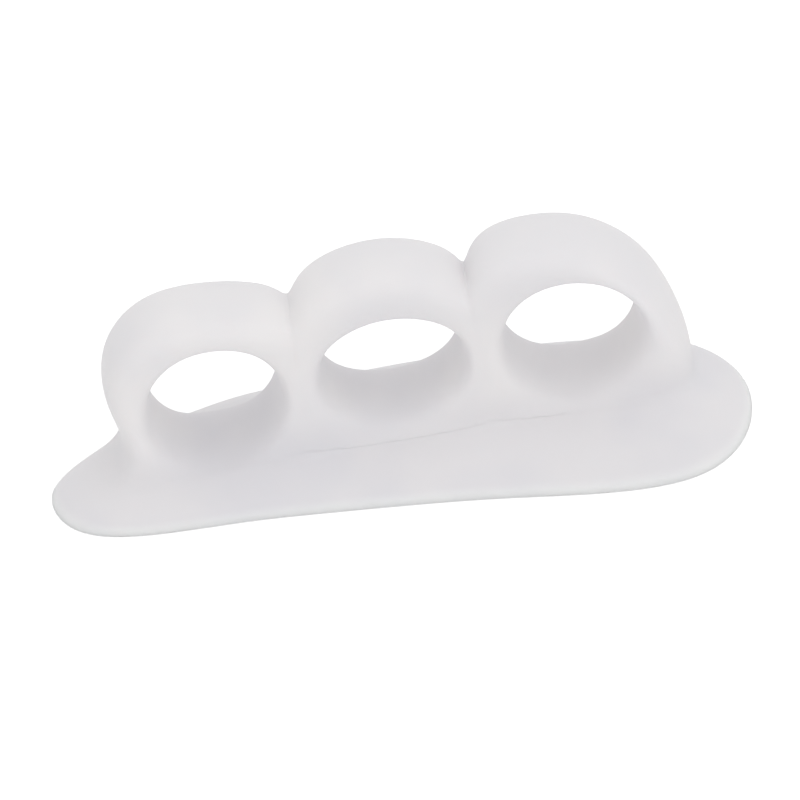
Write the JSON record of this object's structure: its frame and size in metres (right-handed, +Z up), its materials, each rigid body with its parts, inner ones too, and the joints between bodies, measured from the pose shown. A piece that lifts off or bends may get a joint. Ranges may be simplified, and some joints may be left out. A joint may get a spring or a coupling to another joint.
{
  "type": "toe separator",
  "caption": "One-piece silicone gel toe separator: a row of round toe loops standing on a flat, rounded sole pad that is wider at one end.",
  "frame": {"origin": "on the flat underside of the sole pad, below the centre of the middle toe loop", "axes": "+X along the row of loops towards the wide end of the pad, +Y through the loops towards the narrow flange, +Z up from the sole"},
  "size_m": [0.0823, 0.0309, 0.0256],
  "materials": {
    "silicone_gel": "matt, milky white, slightly translucent silicone gel"
  },
  "bodies": {
    "root": {"gel_body": "silicone_gel"}
  },
  "joints": []
}
